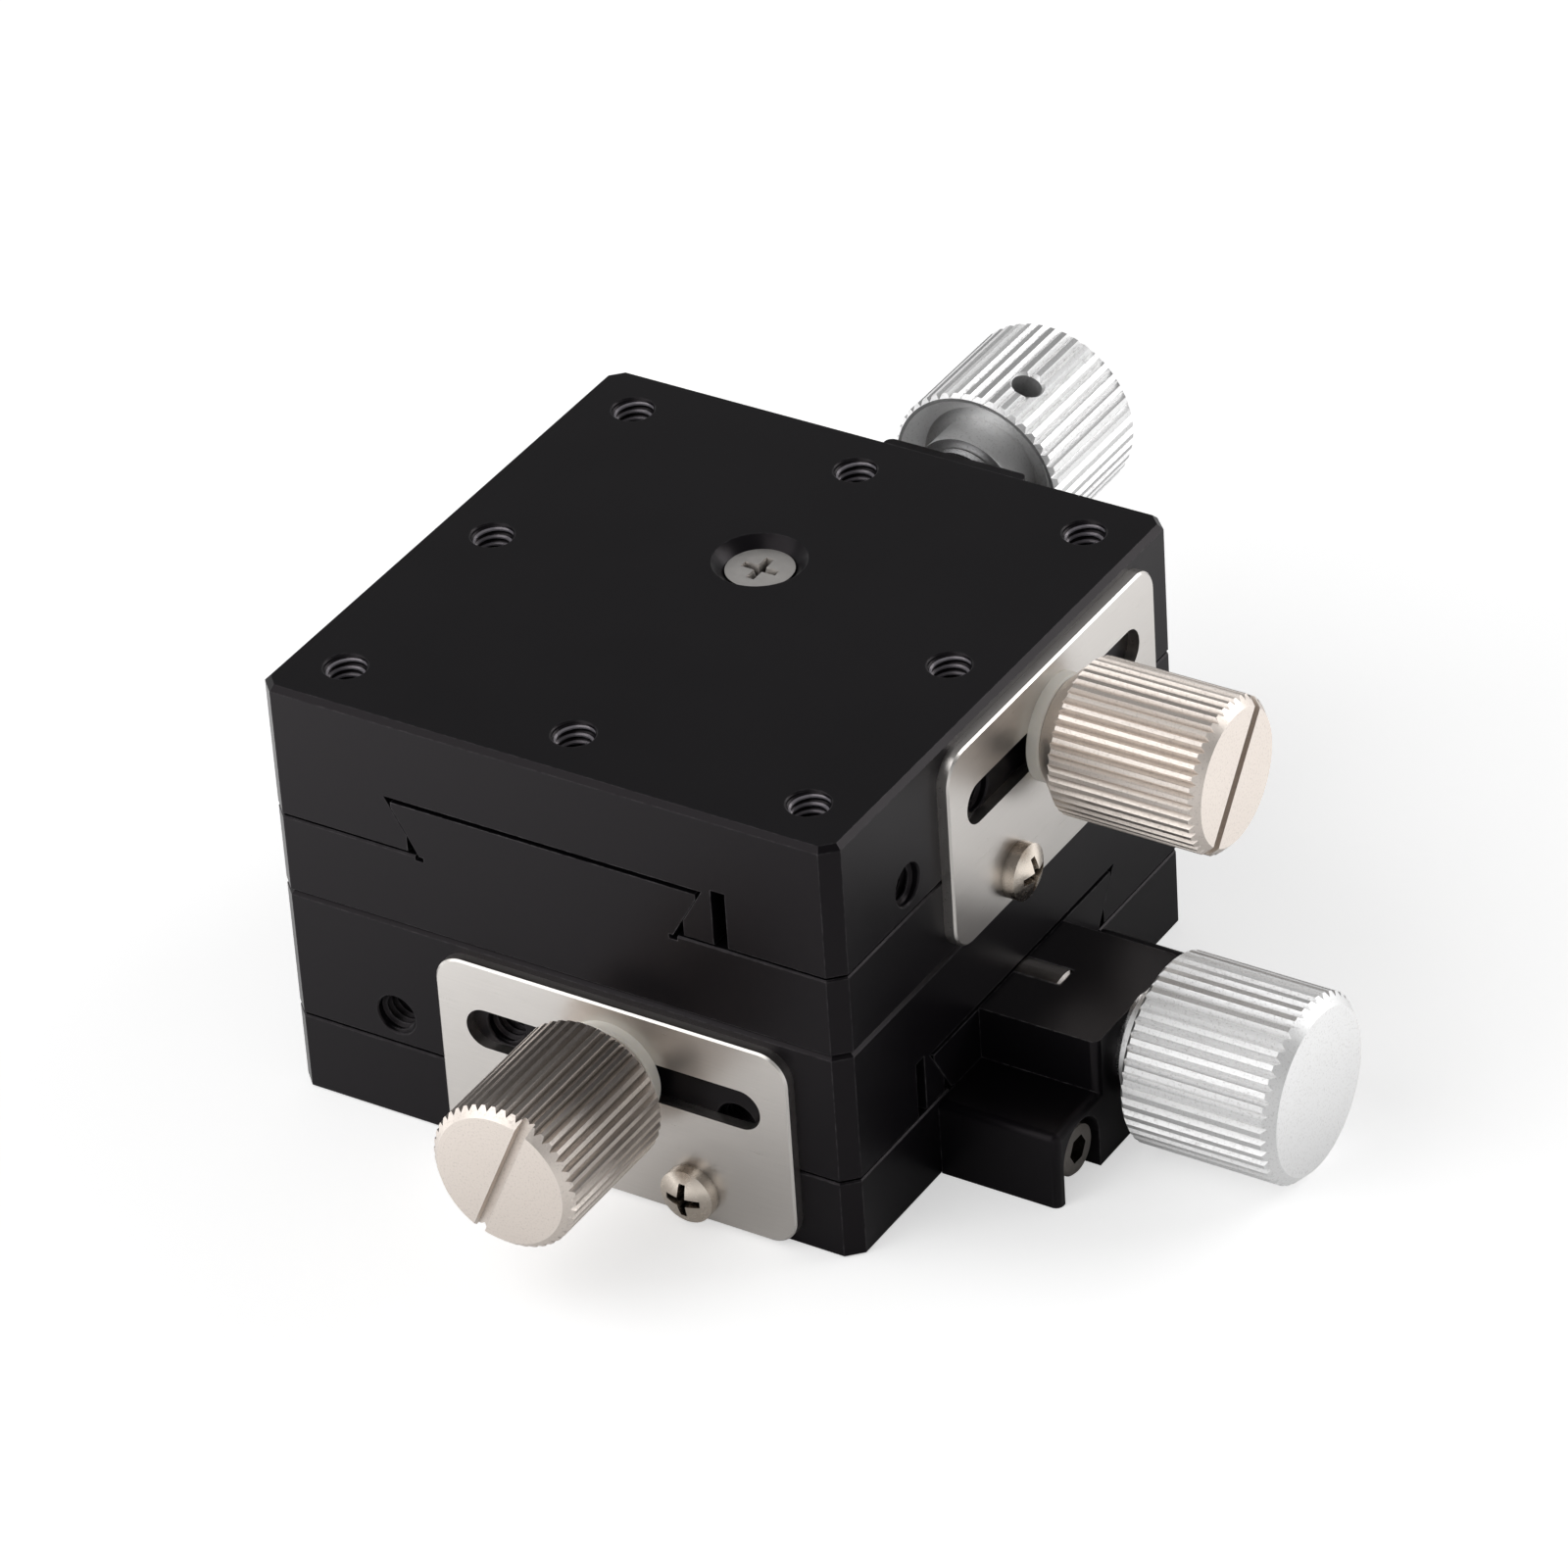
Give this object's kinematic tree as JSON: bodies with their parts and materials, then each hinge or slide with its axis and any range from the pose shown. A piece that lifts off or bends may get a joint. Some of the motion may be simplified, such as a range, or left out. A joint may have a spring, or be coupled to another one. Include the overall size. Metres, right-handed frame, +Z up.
{
  "type": "linear translation stage",
  "caption": "Two-axis manual translation table: stacked dovetail stages of black anodised aluminium with feed screws, knurled knobs and friction clamps.",
  "frame": {"origin": "centre of the lower base plate, on its underside", "axes": "+X is the lower stage's travel towards its feed knob, +Y the upper stage's travel towards its own, +Z up through the top face"},
  "size_m": [0.0935, 0.1139, 0.0456],
  "materials": {
    "black": "black anodised, satin",
    "nickel": "satin nickel",
    "warm_nickel": "bright nickel, knurled",
    "aluminium": "turned, bright",
    "steel": "ground",
    "screw_nickel": "nickel plated",
    "dark_steel": "black oxide",
    "bronze": "turned",
    "bush_metal": "turned, bright",
    "nylon": "satin"
  },
  "bodies": {
    "base": {"lower_base": "black", "lower_feed_bracket": "black", "lower_bracket_screws": "screw_nickel", "lower_feed_bush": "bush_metal", "lower_thrust_washer": "bush_metal", "lower_clamp_plate": "nickel", "lower_clamp_plate_screws": "screw_nickel"},
    "lower_carriage": {"lower_carriage": "black", "lower_feed_nut": "bronze", "lower_nut_screw": "screw_nickel", "lower_gib_screws": "dark_steel", "stack_screws": "dark_steel", "upper_base": "black", "upper_feed_bracket": "black", "upper_bracket_screws": "screw_nickel", "upper_feed_bush": "bush_metal", "upper_thrust_washer": "bush_metal", "upper_clamp_plate": "nickel", "upper_clamp_plate_screws": "screw_nickel"},
    "upper_carriage": {"cross_carriage": "black", "upper_feed_nut": "bronze", "upper_nut_screw": "screw_nickel", "upper_gib_screws": "dark_steel"},
    "lower_feed": {"lower_feed_screw": "steel", "lower_feed_knob": "aluminium", "lower_knob_set_screw": "dark_steel"},
    "upper_feed": {"upper_feed_screw": "steel", "upper_feed_knob": "aluminium", "upper_knob_set_screw": "dark_steel"},
    "lower_clamp": {"lower_clamp_knob": "warm_nickel", "lower_clamp_washer": "nylon"},
    "upper_clamp": {"upper_clamp_knob": "warm_nickel", "upper_clamp_washer": "nylon"}
  },
  "joints": [
    {"name": "lower_feed_turn", "type": "hinge", "parent": "base", "child": "lower_feed", "pos_m": [0, 0, 0.0095], "axis": [1, 0, 0], "range_deg": [-4500, 4500]},
    {"name": "lower_slide", "type": "slide", "parent": "base", "child": "lower_carriage", "axis": [1, 0, 0], "range_m": [-0.0125, 0.0125]},
    {"name": "lower_clamp_turn", "type": "hinge", "parent": "lower_carriage", "child": "lower_clamp", "pos_m": [0.00615, -0.031, 0.0145], "axis": [0, -1, 0], "range_deg": [0, 360]},
    {"name": "upper_feed_turn", "type": "hinge", "parent": "lower_carriage", "child": "upper_feed", "pos_m": [0, 0, 0.0323], "axis": [0, 1, 0], "range_deg": [-4500, 4500]},
    {"name": "upper_slide", "type": "slide", "parent": "lower_carriage", "child": "upper_carriage", "axis": [0, 1, 0], "range_m": [-0.0125, 0.0125]},
    {"name": "upper_clamp_turn", "type": "hinge", "parent": "upper_carriage", "child": "upper_clamp", "pos_m": [0.031, 0.00615, 0.0373], "axis": [1, 0, 0], "range_deg": [0, 360]}
  ],
  "couplings": [
    {"joint": "lower_feed_turn", "follows": "lower_slide", "rad_per_m": -6283.2},
    {"joint": "upper_feed_turn", "follows": "upper_slide", "rad_per_m": -6283.2}
  ]
}
